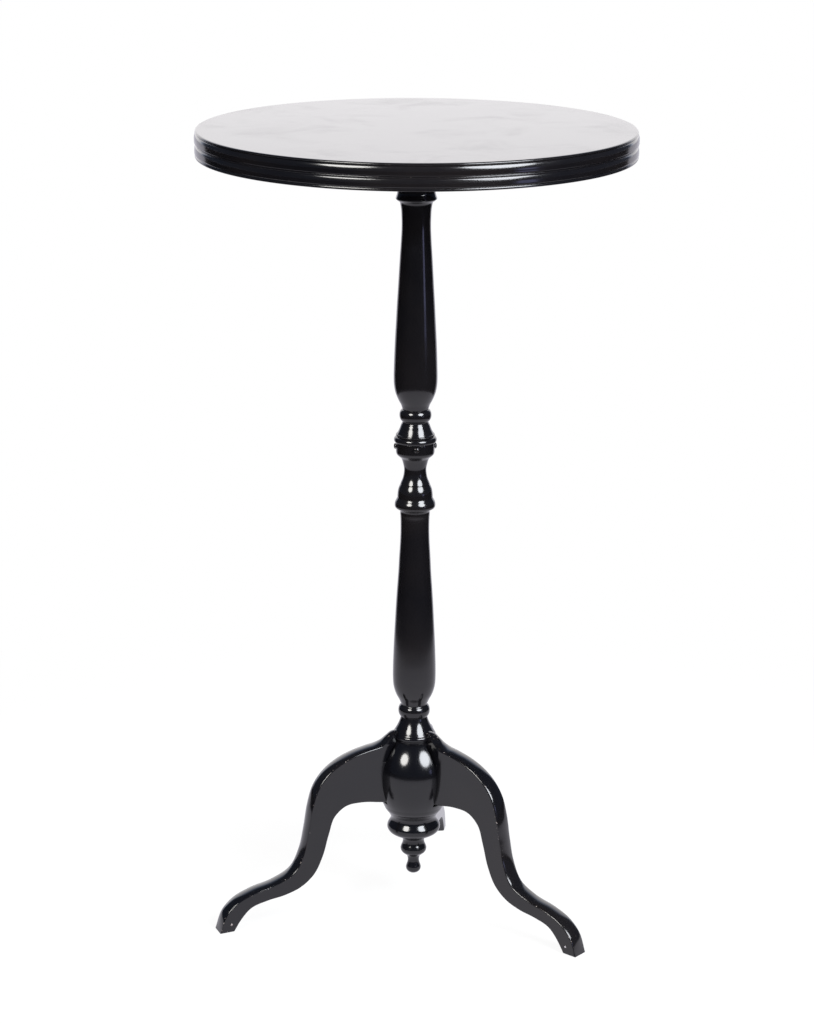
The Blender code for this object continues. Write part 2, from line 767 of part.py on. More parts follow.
def add_legs():
    mesh = leg_mesh()
    cope = bpy.data.objects.new("ring_cope", profile_mesh("ring_cope", ring_cope()))
    cutters.objects.link(cope)
    cope.hide_render = True
    cope.display_type = "WIRE"
    turn_profile(cope, COLUMN_SEGMENTS)
    pin = profile_mesh("foot_pin", screw_profile(PIN_RADIUS, 0.4, PIN_RADIUS - 0.2, PIN_LENGTH))
    for word, azimuth in LEG_AZIMUTHS.items():
        leg = add_part(f"leg_{word}", mesh.copy(), "lacquer")
        stand_up(leg, azimuth)
        rounding = leg.modifiers.new("arrises", "BEVEL")
        rounding.width = 1.6 * MM
        rounding.segments = 1
        rounding.limit_method = "ANGLE"
        rounding.angle_limit = math.radians(50)
        face = 1 if word == "right" else -1

        def tenon(shape):
            half = TENON_THICKNESS / 2
            low = (TENON_INNER, TENON_BOTTOM, -half)
            add_box(shape, low, (LEG_ROOT + 2, TENON_TOP, half))

        def pin_hole(shape):
            face_side = face * (LEG_THICKNESS / 2 + 1)
            inside = face * (LEG_THICKNESS / 2 - PIN_LENGTH - 0.5)
            start = (PIN_FROM_AXIS, PIN_HEIGHT, face_side)
            add_rod(shape, start, (PIN_FROM_AXIS, PIN_HEIGHT, inside), PIN_RADIUS + 0.1, 8)

        for build, operation in ((tenon, "UNION"), (pin_hole, "DIFFERENCE")):
            tool = add_cutter(f"leg_{word}_{build.__name__}", build)
            stand_up(tool, azimuth)
            boolean(leg, tool, operation)
        boolean(leg, cope, "DIFFERENCE")

        direction = math.radians(azimuth - 90 * face)
        side = LEG_THICKNESS / 2 + GAP
        base_x, base_y, base_z = radial_point(azimuth, PIN_FROM_AXIS, PIN_HEIGHT)
        place = (base_x + side * math.cos(direction), base_y + side * math.sin(direction), base_z)
        item = add_part(f"foot_pin_{word}", pin, "steel", place)
        item.rotation_euler = (math.radians(-90), 0, direction + math.radians(90))
        turn_profile(item, 8)


def main():
    # The tilting assembly hangs on an empty on the hinge axis, the bolt on a second one
    tilt = bpy.data.objects.new("top_tilt_axis", None)
    parts.objects.link(tilt)
    tilt.location = metres(0, PIVOT_Y, PIVOT_Z)
    add_top(tilt)
    add_bearers(tilt)
    draw = bpy.data.objects.new("catch_slide_axis", None)
    parts.objects.link(draw)
    draw.location = metres(0, BOLT_TIP, BOLT_BOTTOM)
    add_catch(tilt, draw)
    add_strike()
    add_block()
    add_wedge()
    add_column()
    add_legs()


clear_scene()
parts = make_collection("tilt_top_table")
cutters = make_collection("cutters")
main()
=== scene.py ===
"""Looks of the tilt top table: fine meshes, lacquer, brass, steel and a light studio."""

import math

import bmesh
import bpy
from mathutils import Matrix, Vector


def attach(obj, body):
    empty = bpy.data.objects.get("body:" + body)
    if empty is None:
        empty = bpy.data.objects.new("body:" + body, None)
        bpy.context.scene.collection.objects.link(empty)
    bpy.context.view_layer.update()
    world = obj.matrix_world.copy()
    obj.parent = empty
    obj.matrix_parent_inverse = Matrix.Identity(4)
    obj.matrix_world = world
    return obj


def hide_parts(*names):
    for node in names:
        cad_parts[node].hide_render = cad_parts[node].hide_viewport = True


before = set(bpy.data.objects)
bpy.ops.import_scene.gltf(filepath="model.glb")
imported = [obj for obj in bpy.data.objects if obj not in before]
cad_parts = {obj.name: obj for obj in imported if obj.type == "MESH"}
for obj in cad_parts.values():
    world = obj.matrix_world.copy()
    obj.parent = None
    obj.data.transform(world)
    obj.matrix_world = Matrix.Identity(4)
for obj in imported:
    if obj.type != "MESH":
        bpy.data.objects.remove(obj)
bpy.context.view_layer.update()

MM = 0.001
GAP = 0.3  # clearance between touching pieces; sizes are in millimetres unless said

TABLE_HEIGHT = 749.0
TOP_RADIUS = 200.0
TOP_UNDERSIDE = TABLE_HEIGHT - 24.0
PIVOT_Y = -55.0
PIVOT_Z = TOP_UNDERSIDE - 8.4
PINTLE_RADIUS = 4.5
BLOCK_HALF = 65.0
BLOCK_TOP = TOP_UNDERSIDE - 0.4
BLOCK_BOTTOM = TOP_UNDERSIDE - 16.5
BLOCK_NOSE_RADIUS = BLOCK_TOP - PIVOT_Z
BEARER_WIDTH = 20.0
BEARER_HALF_LENGTH = 120.0
BEARER_FLAT_FRONT = -64.0
BEARER_FLAT_REAR = 75.0
BEARER_END_DEPTH = 6.0
BEARER_OFFSET = BLOCK_HALF + 0.4 + BEARER_WIDTH / 2
BEARER_SCREW_Y = {"front": -36.0, "middle": 14.0, "rear": 64.0}

TURNED_SEGMENTS = 128
TOP_SEGMENTS = 288
HEAD_TENON_RADIUS = 11.0
HEAD_TENON_TOP = TOP_UNDERSIDE - 1.0
KERF_DEPTH = 13.6
KERF_HALF = 0.9
SOCKET_TOP = 458.7
SOCKET_RADIUS = 9.3
SOCKET_FLOOR = 440.5
COLLAR_RADIUS = 17.9
COLLAR_EASING = 0.5
COLLAR_SCREW_HEIGHT = 454.6
COLLAR_ANGLES = {"right": 12.0, "back": 102.0, "left": 192.0, "front": 282.0}
BALL_RADIUS = 36.0
BALL_MIDDLE = 131.8
BALL_SIDE = 51.0  # radius of the arc that the ball's upper side follows
BALL_DROP = 50.4  # vertical half-axis of the ellipse that its lower side follows
BALL_FLOOR = 95.8
SPIGOT_RADIUS = 6.0
SPIGOT_TOP = 120.0

LEG_AZIMUTHS = {"back": 91.3, "left": 210.0, "right": -30.0}
LEG_HALF = 8.5
LEG_ROOT = 21.3
LEG_ROOT_BOTTOM = 107.4
LEG_HOUSING_TOP = 180.0
LEG_EAR_BOTTOM = 166.8
LEG_EAR_TOP = 178.4
LEG_EAR_INNER = 17.6
LEG_ARRIS = 0.9
LEG_CROWN = 1.6
EAR_CROWN = 3.4  # more crown on the ear, dying away over EAR_CROWN_REACH
EAR_CROWN_REACH = 26.0
FOOT_CROWN_HEIGHT = 14.0  # below this height the crown dies away
EAR_CHAMFER_START = 36.0
EAR_CHAMFER_ANGLE = 12.0
EAR_CHAMFER_DEPTH = 8.0
EAR_CHAMFER_LENGTH = 30.0
EAR_CHAMFER_BOTTOM = 150.0
LEG_TENON = ((12.0, -4.5, 116.0), (LEG_ROOT + 2, 4.5, 152.0))
PIN_FROM_AXIS = 187.0
PIN_HEIGHT = 8.0
PIN_RADIUS = 0.9
PIN_HEAD_RADIUS = 1.1
PIN_LENGTH = 6.0

CATCH_FRONT = 72.0
CATCH_PLATE_BOTTOM = 723.0
CATCH_PLATE_HALF = 22.0
CATCH_PLATE_LENGTH = 40.0
CATCH_CASE_BOTTOM = 713.6
CATCH_CASE_HALF = 10.0
CATCH_CASE_LENGTH = 36.0
BOLT_BOTTOM = 717.5
BOLT_TOP = 720.5
BOLT_MIDDLE = (BOLT_BOTTOM + BOLT_TOP) / 2
BOLT_HALF = 6.0
BOLT_TIP = 62.0
BOLT_LENGTH = 36.0
BOLT_TRAVEL = 7.0
MOUTH_HALF = 7.4
MOUTH_SPARE = 0.8
KNOB_Y = 84.0
KNOB_WAY_HALF = 2.8
STRIKE_FRONT = BLOCK_HALF + GAP
STRIKE_BACK = STRIKE_FRONT + 1.5
STRIKE_HALF = 16.0
STRIKE_BOTTOM = 712.5
STRIKE_TOP = 723.7
STRIKE_SCREW_X = 11.8
STRIKE_BORE_RADIUS = 1.8
STRIKE_BORE_DEPTH = 11.0
CATCH_SCREWS = {
    "front_left": (-17.0, 77.0),
    "front_right": (17.0, 77.0),
    "rear_left": (-17.0, 107.0),
    "rear_right": (17.0, 107.0),
}

WEAR_BEND = 0.12  # radians; edges that bend less than this don't wear
WEAR_BEND_SPAN = 0.4
WIDE_FACE = 0.03  # perimeter in metres


# ---------------------------------------------------------------- mesh tools

def metres(x, y, z):
    """A point given in millimetres."""
    return Vector((x, y, z)) * MM


def arc(centre_r, centre_z, radius_r, radius_z, start, end, steps):
    """Profile points on an elliptical arc; angles in degrees, 0 outwards and 90 up."""
    points = []
    for step in range(steps + 1):
        angle = math.radians(start + (end - start) * step / steps)
        point_r = centre_r + radius_r * math.cos(angle)
        point_z = centre_z + radius_z * math.sin(angle)
        points.append((point_r, point_z))
    return points


def flowing(points, steps):
    """A smooth line through the points, by Hermite spans of even steps."""
    count = len(points)
    lengths = [math.dist(points[i], points[i + 1]) for i in range(count - 1)]
    tangents = []
    for i in range(count):
        if i == 0 or i == count - 1:
            j = 0 if i == 0 else count - 2
            slope = [(points[j + 1][k] - points[j][k]) / lengths[j] for k in (0, 1)]
        else:
            before, after = lengths[i - 1], lengths[i]
            slope = []
            for k in (0, 1):
                back = (points[i][k] - points[i - 1][k]) / before
                ahead = (points[i + 1][k] - points[i][k]) / after
                slope.append((back * after + ahead * before) / (before + after))
        tangents.append(slope)
    line = [points[0]]
    for i in range(count - 1):
        span = lengths[i]
        for step in range(1, steps + 1):
            t = step / steps
            h1 = 2 * t ** 3 - 3 * t ** 2 + 1
            h2 = t ** 3 - 2 * t ** 2 + t
            h3 = 3 * t ** 2 - 2 * t ** 3
            h4 = t ** 3 - t ** 2
            line.append(tuple(
                h1 * points[i][k] + h2 * span * tangents[i][k]
                + h3 * points[i + 1][k] + h4 * span * tangents[i + 1][k]
                for k in (0, 1)
            ))
    return line


def joined(*sections):
    """One profile from sections whose ends may repeat the same point."""
    points = []
    for section in sections:
        for point in section:
            if not points or math.dist(points[-1], point) > 0.02:
                points.append(point)
    return points


def turned_mesh(name, profile, segments):
    """A closed turning from (radius, height) points that start and end on the axis."""
    shape = bmesh.new()
    rings = []
    for radius, height in profile:
        if radius < 0.001:
            rings.append([shape.verts.new(metres(0, 0, height))])
            continue
        ring = []
        for number in range(segments):
            angle = 2 * math.pi * number / segments
            place = metres(radius * math.cos(angle), radius * math.sin(angle), height)
            ring.append(shape.verts.new(place))
        rings.append(ring)
    for low, high in zip(rings, rings[1:]):
        for number in range(segments):
            after = (number + 1) % segments
            if len(low) == 1:
                shape.faces.new((low[0], high[number], high[after]))
            elif len(high) == 1:
                shape.faces.new((low[number], high[0], low[after]))
            else:
                shape.faces.new((low[number], high[number], high[after], low[after]))
    bmesh.ops.recalc_face_normals(shape, faces=shape.faces)
    mesh = bpy.data.meshes.new(name)
    shape.to_mesh(mesh)
    shape.free()
    return mesh


def box_shape(low, high, rounding=0.0, steps=2):
    """A bmesh box between two corners, its edges rounded."""
    shape = bmesh.new()
    size = [high[k] - low[k] for k in range(3)]
    middle = [(high[k] + low[k]) / 2 for k in range(3)]
    matrix = Matrix.Translation(metres(*middle)) @ Matrix.Diagonal((*(metres(*size)), 1.0))
    bmesh.ops.create_cube(shape, size=1.0, matrix=matrix)
    if rounding:
        bmesh.ops.bevel(
            shape, geom=shape.edges[:], offset=rounding * MM, segments=steps,
            profile=0.5, affect="EDGES", clamp_overlap=True,
        )
    return shape


def rod_shape(start, end, radius, segments):
    """A bmesh cylinder from one point to another."""
    start, end = metres(*start), metres(*end)
    along = end - start
    turn = along.to_track_quat("Z", "Y").to_matrix().to_4x4()
    shape = bmesh.new()
    bmesh.ops.create_cone(
        shape, cap_ends=True, segments=segments, radius1=radius * MM, radius2=radius * MM,
        depth=along.length, matrix=Matrix.Translation((start + end) / 2) @ turn,
    )
    return shape


def as_object(name, shape, matrix=None):
    """An object from a bmesh, which it uses up."""
    mesh = bpy.data.meshes.new(name)
    if matrix is not None:
        bmesh.ops.transform(shape, matrix=matrix, verts=shape.verts)
    shape.to_mesh(mesh)
    shape.free()
    return mesh_object(name, mesh)


def mesh_object(name, mesh):
    item = bpy.data.objects.new(name, mesh)
    bpy.context.scene.collection.objects.link(item)
    return item


def carve(item, shapes, operation="DIFFERENCE"):
    """Cut each shape out of the item, or join it on, and keep the resulting mesh."""
    for shape in shapes:
        tool = as_object("tool", shape)
        change = item.modifiers.new("carve", "BOOLEAN")
        change.operation = operation
        change.solver = "EXACT"
        change.object = tool
        evaluated = item.evaluated_get(bpy.context.evaluated_depsgraph_get())
        mesh = bpy.data.meshes.new_from_object(evaluated)
        item.modifiers.clear()
        old = item.data
        item.data = mesh
        bpy.data.meshes.remove(old)
        bpy.data.meshes.remove(tool.data)


def turned_about(azimuth):
    """A turn about the upright axis, in degrees."""
    return Matrix.Rotation(math.radians(azimuth), 4, "Z")


def radial_point(angle, radius, height):
    """A place in millimetres, from its angle round the upright axis."""
    angle = math.radians(angle)
    return (radius * math.cos(angle), radius * math.sin(angle), height)


def shade(item, angle=32.0):
    """Smooth shading, with the edges above the angle kept sharp."""
    mesh = item.data
    mesh.shade_smooth()
    mesh.set_sharp_from_angle(angle=math.radians(angle))


def mark_wear(item):
    """A vertex value that is high on convex edges, for the materials to wear them with."""
    mesh = item.data
    shape = bmesh.new()
    shape.from_mesh(mesh)
    values = []
    for vertex in shape.verts:
        bend = 0.0
        for edge in vertex.link_edges:
            if len(edge.link_faces) == 2:
                bend = max(bend, edge.calc_face_angle_signed(0.0))
        widest = max((face.calc_perimeter() for face in vertex.link_faces), default=1.0)
        wear = max(0.0, min(1.0, (bend - WEAR_BEND) / WEAR_BEND_SPAN))
        values.append(wear if widest < WIDE_FACE else 0.0)  # or it would smear over the face
    shape.free()
    layer = mesh.attributes.new("wear", "FLOAT", "POINT")
    layer.data.foreach_set("value", values)


def finish_piece(item, node, body, material, angle=32.0):
    """Shade a piece, give it its material and let it stand for its CAD node."""
    item.name = f"{node}_piece"
    item.data.name = item.name
    shade(item, angle)
    mark_wear(item)
    item.data.materials.clear()
    item.data.materials.append(material)
    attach(item, body)
    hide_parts(node)


# ---------------------------------------------------------------- node materials

class Nodes:
    """Short calls for wiring one node tree."""

    def __init__(self, tree):
        self.tree = tree

    def link(self, source, target):
        if isinstance(source, (int, float, tuple)):
            target.default_value = source
        else:
            self.tree.links.new(source, target)

    def node(self, kind, inputs, **settings):
        """A new node, its inputs set to values or linked to sockets."""
        node = self.tree.nodes.new("ShaderNode" + kind)
        for name, value in settings.items():
            setattr(node, name, value)
        for name, source in inputs.items():
            self.link(source, node.inputs[name])
        return node

    def spread(self, source, low, high, to_low=0.0, to_high=1.0):
        """A smooth step from one range to another."""
        inputs = {
            "Value": source, "From Min": low, "From Max": high, "To Min": to_low, "To Max": to_high,
        }
        return self.node("MapRange", inputs, interpolation_type="SMOOTHSTEP").outputs["Result"]

    def math(self, operation, first, second=0.0):
        return self.node("Math", {0: first, 1: second}, operation=operation).outputs["Value"]

    def product(self, *factors):
        result = factors[0]
        for factor in factors[1:]:
            result = self.math("MULTIPLY", result, factor)
        return result

    def total(self, start, *parts):
        """The start plus each part's source times its amount."""
        result = start
        for source, amount in parts:
            result = self.math("ADD", result, self.product(source, amount))
        return result

    def mix(self, amount, first, second):
        inputs = {"Factor": amount, "A": first, "B": second}
        return self.node("Mix", inputs, data_type="RGBA").outputs["Result"]

    def shaders(self, amount, first, second):
        return self.node("MixShader", {"Fac": amount, 1: first, 2: second}).outputs[0]


class Surface(Nodes):
    """One Principled material, textured in the piece's own coordinates."""

    def __init__(self, name):
        self.material = bpy.data.materials.new(name)
        self.material.use_nodes = True
        super().__init__(self.material.node_tree)
        self.shader = self.tree.nodes["Principled BSDF"]
        self.place = self.node("TexCoord", {}).outputs["Object"]

    def stretched(self, scale):
        return self.node("Mapping", {"Vector": self.place, "Scale": scale}).outputs["Vector"]

    def noise(self, scale, detail, rough=0.55, source=None, distortion=0.0):
        inputs = {
            "Vector": source or self.place, "Scale": scale, "Detail": detail,
            "Roughness": rough, "Distortion": distortion,
        }
        return self.node("TexNoise", inputs).outputs["Fac"]

    def worn_edge(self):
        """The value that mark_wear left on the mesh."""
        return self.node("Attribute", {}, attribute_name="wear").outputs["Fac"]

    def upward(self):
        """How far the surface faces up on the piece itself, from -1 to 1."""
        normal = self.node("TexCoord", {}).outputs["Normal"]
        return self.node("SeparateXYZ", {"Vector": normal}).outputs["Z"]

    def bump(self, height, distance, strength, below=None):
        inputs = {"Strength": strength, "Distance": distance, "Height": height}
        if below is not None:
            inputs["Normal"] = below
        return self.node("Bump", inputs).outputs["Normal"]

    def finish(self, colour, roughness, normal, metallic=0.0):
        self.link(colour, self.shader.inputs["Base Color"])
        self.link(roughness, self.shader.inputs["Roughness"])
        self.link(normal, self.shader.inputs["Normal"])
        self.shader.inputs["Metallic"].default_value = metallic
        return self.material


def lacquer(name, gloss, haze, wear, chips=0.5, dust=0.3, ripple=0.00002):
    """Black lacquer over brown wood, hazed by handling and rubbed on its arrises."""
    black, faded = (0.0022, 0.0022, 0.0030, 1), (0.0052, 0.0044, 0.0046, 1)
    brown, pale = (0.022, 0.012, 0.009, 1), (0.42, 0.36, 0.33, 1)
    dust_grey = (0.30, 0.29, 0.28, 1)
    n = Surface(name)
    deep = n.mix(n.spread(n.noise(9.0, 3.0), 0.35, 0.75), black, faded)
    edge = n.worn_edge()
    rub = n.spread(n.noise(95.0, 5.0, 0.65), 0.52, 0.70)
    rubbed = n.product(edge, rub, wear)
    chip = n.spread(n.noise(520.0, 2.0), 0.66, 0.70)
    chipped = n.product(edge, chip, chips)
    worn = n.mix(n.product(rubbed, 0.4), deep, brown)
    worn = n.mix(chipped, worn, pale)
    specks = n.spread(n.noise(1500.0, 2.0), 0.62, 0.72)
    dusty = n.product(n.spread(n.upward(), 0.25, 1.0), specks, dust)
    colour = n.mix(n.product(dusty, 0.12), worn, dust_grey)
    smudge = n.spread(n.noise(16.0, 5.0, 0.6, distortion=0.6), 0.45, 0.72)
    scratches = n.spread(n.noise(1.0, 2.0, source=n.stretched((60.0, 900.0, 900.0))), 0.62, 0.70)
    rough = n.total(gloss, (smudge, haze), (scratches, 0.02), (rubbed, 0.15), (dusty, 0.06))
    swell = n.bump(n.noise(24.0, 2.0), ripple * 4, 0.3)
    peel = n.bump(n.noise(420.0, 3.0), ripple, 0.3, swell)
    pits = n.bump(n.product(chipped, -1.0), 0.0003, 0.8, peel)
    n.shader.inputs["IOR"].default_value = 1.5
    return n.finish(colour, rough, pits)


def brass(name):
    """Aged brass: patchy, brighter on its edges, brushed along its length."""
    bright, dull = (0.66, 0.47, 0.19, 1), (0.34, 0.22, 0.085, 1)
    polished, dirt = (0.80, 0.62, 0.31, 1), (0.085, 0.060, 0.032, 1)
    n = Surface(name)
    patches = n.spread(n.noise(85.0, 5.0, 0.6, distortion=0.4), 0.38, 0.66)
    colour = n.mix(patches, bright, dull)
    colour = n.mix(n.product(n.worn_edge(), 0.7), colour, polished)
    grime = n.spread(n.noise(260.0, 4.0), 0.58, 0.72)
    colour = n.mix(n.product(grime, 0.55), colour, dirt)
    rough = n.total(0.20, (patches, 0.16), (grime, 0.18))
    lines = n.noise(1.0, 3.0, source=n.stretched((240.0, 4200.0, 2400.0)))
    brushed = n.bump(lines, 0.00002, 0.35)
    dents = n.bump(n.noise(120.0, 2.0), 0.0001, 0.2, brushed)
    return n.finish(colour, rough, dents, 1.0)


def steel(name, clean, stained):
    """Steel with stains and specks of rust, rubbed bare on its edges."""
    rust_brown, bare = (0.10, 0.045, 0.022, 1), (0.30, 0.30, 0.31, 1)
    n = Surface(name)
    patches = n.spread(n.noise(210.0, 4.0), 0.42, 0.66)
    colour = n.mix(patches, clean, stained)
    rust = n.spread(n.noise(700.0, 3.0), 0.60, 0.72)
    colour = n.mix(n.product(rust, 0.6), colour, rust_brown)
    colour = n.mix(n.product(n.worn_edge(), 0.5), colour, bare)
    rough = n.total(0.22, (patches, 0.15), (rust, 0.25))
    marks = n.bump(n.noise(1900.0, 3.0), 0.00003, 0.4)
    return n.finish(colour, rough, marks, 1.0)


def bare_wood(name):
    """Brown wood with its grain and pores along the piece."""
    light, dark, pore_brown = (0.30, 0.16, 0.075, 1), (0.15, 0.075, 0.035, 1), (0.045, 0.022, 0.012, 1)
    n = Surface(name)
    grain = n.noise(1.0, 6.0, 0.6, source=n.stretched((900.0, 120.0, 40.0)))
    colour = n.mix(n.spread(grain, 0.35, 0.68), light, dark)
    pores = n.spread(n.noise(1.0, 2.0, source=n.stretched((3600.0, 700.0, 90.0))), 0.60, 0.70)
    colour = n.mix(n.product(pores, 0.7), colour, pore_brown)
    rough = n.total(0.48, (grain, 0.2))
    relief = n.bump(n.total(grain, (pores, -0.6)), 0.00008, 0.6)
    return n.finish(colour, rough, relief)


lacquer_top = lacquer("lacquer_top", gloss=0.14, haze=0.05, wear=0.5, chips=0.1, dust=0.22)
lacquer_turned = lacquer("lacquer_turned", gloss=0.135, haze=0.03, wear=0.4, chips=0.0, ripple=0.00001)
lacquer_legs = lacquer("lacquer_legs", gloss=0.12, haze=0.05, wear=1.0, chips=1.0, dust=0.5)
lacquer_under = lacquer("lacquer_under", gloss=0.28, haze=0.16, wear=1.6, dust=0.8, ripple=0.00012)
brass_fitting = brass("aged_brass")
steel_screw = steel("dark_steel", (0.030, 0.030, 0.032, 1), (0.018, 0.017, 0.016, 1))
bright_pin = steel("bright_steel", (0.62, 0.60, 0.60, 1), (0.34, 0.30, 0.28, 1))
wedge_wood = bare_wood("wedge_wood")


# ---------------------------------------------------------------- top

def build_top():
    """The top board: flat, with an eased arris, an ovolo, a bead and a sloping foot."""
    high = TABLE_HEIGHT
    edge = TOP_RADIUS
    profile = joined(
        [(0, high), (60, high), (120, high), (160, high), (185, high), (edge - 3.6, high)],
        arc(edge - 2.3, high - 1.4, 1.5, 1.4, 90, 0, 8),
        flowing([(edge - 0.8, high - 1.4), (edge - 1.2, high - 1.95), (edge - 1.75, high - 2.3)], 2),
        flowing([
            (edge - 1.75, high - 2.3), (edge - 1.05, high - 2.9), (edge - 0.5, high - 4.2),
            (edge - 0.2, high - 5.6), (edge - 0.06, high - 7.2), (edge - 0.1, high - 9.2),
            (edge - 0.25, high - 10.8), (edge - 1.5, high - 11.5),
        ], 4),
        arc(edge - 1.6, high - 12.3, 0.7, 0.7, 80, -70, 8),
        flowing([
            (edge - 1.4, high - 13.0), (edge - 0.85, high - 13.8), (edge - 0.5, high - 15.2),
            (edge - 0.3, high - 16.8), (edge - 0.25, high - 18.4), (edge - 0.4, high - 20.6),
            (edge - 1.15, high - 21.4),
        ], 4),
        flowing([(edge - 1.15, high - 21.4), (edge - 0.7, high - 22.2), (edge - 0.6, high - 23.2)], 3),
        arc(edge - 1.4, high - 23.3, 0.8, 0.7, 0, -90, 5),
        [(185, TOP_UNDERSIDE), (120, TOP_UNDERSIDE)],
        [(60, TOP_UNDERSIDE), (0, TOP_UNDERSIDE)],
    )
    item = mesh_object("top", turned_mesh("top", profile, TOP_SEGMENTS))
    finish_piece(item, "top_board", "tilting_top", lacquer_top, 40.0)


def plate_shape(outline, half, rounding):
    """A prism whose outline lies in (y, z) and whose thickness runs along X."""
    shape = bmesh.new()
    low = [shape.verts.new(metres(-half, y, z)) for y, z in outline]
    high = [shape.verts.new(metres(half, y, z)) for y, z in outline]
    shape.faces.new(low)
    shape.faces.new(list(reversed(high)))
    count = len(outline)
    for number in range(count):
        after = (number + 1) % count
        shape.faces.new((low[after], low[number], high[number], high[after]))
    bmesh.ops.recalc_face_normals(shape, faces=shape.faces)
    sharp = [e for e in shape.edges if e.calc_face_angle(0.0) > math.radians(20)]
    bmesh.ops.bevel(
        shape, geom=sharp, offset=rounding * MM, segments=3, profile=0.5, affect="EDGES",
    )
    return shape


def slotted_screw(head_radius, head_height, shank_radius, shank_length, slot_turn):
    """A slotted dome-head screw that hangs from its head's underside, shank up."""
    dome = arc(0, -0.25, head_radius, head_height - 0.25, -4, -90, 10)
    tip = [(0, shank_length), (shank_radius * 0.5, shank_length), (shank_radius, shank_length - 1.5)]
    thread = []
    for turn in range(10):
        depth = 0.0 if turn % 2 else 0.35
        thread.append((shank_radius - depth, shank_length - 1.9 - turn * 0.45))
    neck = [(shank_radius, 0), (head_radius - 0.15, 0), (head_radius, -0.18)]
    item = mesh_object("screw", turned_mesh("screw", joined(tip, thread, neck, dome), 40))
    reach, half = head_radius * 1.2, head_radius * 0.14
    slot = box_shape((-reach, -half, -head_height - 1), (reach, half, -head_height * 0.45))
    bmesh.ops.transform(slot, matrix=turned_about(slot_turn), verts=slot.verts)
    carve(item, [slot])
    return item


def place_screw(item, node, body, material, place, turn=Matrix.Identity(4)):
    """Set a screw with the underside of its head at a place in millimetres."""
    item.data.transform(Matrix.Translation(metres(*place)) @ turn)
    finish_piece(item, node, body, material, 28.0)


def build_bearers():
    """Two rails with curved ends, bored for the pintles, with three screws each."""
    top = TOP_UNDERSIDE - GAP
    rest = BLOCK_BOTTOM - GAP
    for side, word in ((-1, "left"), (1, "right")):
        outline = [
            (-BEARER_HALF_LENGTH, top),
            (-BEARER_HALF_LENGTH, top - BEARER_END_DEPTH),
            *flowing([
                (-BEARER_HALF_LENGTH, top - BEARER_END_DEPTH),
                (-96.0, top - 10.2),
                (BEARER_FLAT_FRONT, BLOCK_BOTTOM),
            ], 5)[1:],
            *flowing([
                (BEARER_FLAT_REAR, BLOCK_BOTTOM),
                (100.0, top - 11.0),
                (BEARER_HALF_LENGTH, top - BEARER_END_DEPTH),
            ], 5),
            (BEARER_HALF_LENGTH, top),
        ]
        shape = plate_shape(outline, BEARER_WIDTH / 2, 1.1)
        item = as_object("bearer", shape, Matrix.Translation(metres(side * BEARER_OFFSET, 0, 0)))
        x = side * BEARER_OFFSET
        reach = BEARER_WIDTH
        start, end = (x - reach, PIVOT_Y, PIVOT_Z), (x + reach, PIVOT_Y, PIVOT_Z)
        carve(item, [rod_shape(start, end, PINTLE_RADIUS + GAP, 48)])
        finish_piece(item, f"bearer_{word}", "tilting_top", lacquer_under)
        for number, (end_word, y) in enumerate(BEARER_SCREW_Y.items()):
            length = TOP_UNDERSIDE + 12.0 - rest
            screw = slotted_screw(4.0, 2.2, 2.0, length, 25 + 52 * number + 31 * side)
            node = f"bearer_screw_{word}_{end_word}"
            place_screw(screw, node, "tilting_top", steel_screw, (x, y, rest))


# ---------------------------------------------------------------- catch

def catch_plate():
    """A screwed plate with a hollow case on it, slotted for the knob."""
    front, bottom = CATCH_FRONT, CATCH_PLATE_BOTTOM
    low = (-CATCH_PLATE_HALF, front, bottom)
    high = (CATCH_PLATE_HALF, front + CATCH_PLATE_LENGTH, TOP_UNDERSIDE - GAP)
    plate = as_object("plate", box_shape(low, high, 0.5, 3))
    low = (-CATCH_CASE_HALF, front + 0.05, CATCH_CASE_BOTTOM)
    high = (CATCH_CASE_HALF, front + CATCH_CASE_LENGTH, bottom + 0.6)
    carve(plate, [box_shape(low, high, 0.9, 3)], "UNION")
    half = BOLT_HALF + GAP
    way = box_shape((-half, front - 2, BOLT_BOTTOM - GAP), (half, front + 34.0, BOLT_TOP + GAP))
    low = (-KNOB_WAY_HALF, KNOB_Y - KNOB_WAY_HALF, CATCH_CASE_BOTTOM - 2)
    high = (KNOB_WAY_HALF, KNOB_Y + BOLT_TRAVEL + KNOB_WAY_HALF, BOLT_BOTTOM)
    slot = box_shape(low, high, 1.2, 3)
    carve(plate, [way, slot])
    finish_piece(plate, "catch_plate", "tilting_top", brass_fitting)


def bolt_and_knob():
    """The sliding bolt, and the turned knob riveted through it."""
    low, high = (-BOLT_HALF, BOLT_TIP, BOLT_BOTTOM), (BOLT_HALF, BOLT_TIP + BOLT_LENGTH, BOLT_TOP)
    bolt = as_object("bolt", box_shape(low, high, 0.5, 3))
    finish_piece(bolt, "catch_bolt", "catch", brass_fitting)
    neck = (2.4, 712.4)
    profile = joined(
        [(0, BOLT_TOP - 0.5), (1.5, BOLT_TOP - 0.5), (1.5, BOLT_BOTTOM - GAP)],
        [(neck[0], BOLT_BOTTOM - GAP), neck],
        flowing([neck, (3.0, 711.6), (5.2, 711.3)], 3),
        arc(5.5, 709.6, 1.5, 1.7, 90, -60, 10),
        flowing([(6.2, 708.0), (5.6, 706.9), (3.6, 705.9), (0, 705.5)], 5),
    )
    knob = mesh_object("knob", turned_mesh("knob", profile, 48))
    knob.data.transform(Matrix.Translation(metres(0, KNOB_Y, 0)))
    finish_piece(knob, "catch_knob", "catch", brass_fitting)


def bolt_mouth(front, back):
    """A cutter for the opening that the bolt goes into."""
    low = (-MOUTH_HALF, front, BOLT_BOTTOM - MOUTH_SPARE)
    return box_shape(low, (MOUTH_HALF, back, BOLT_TOP + MOUTH_SPARE))


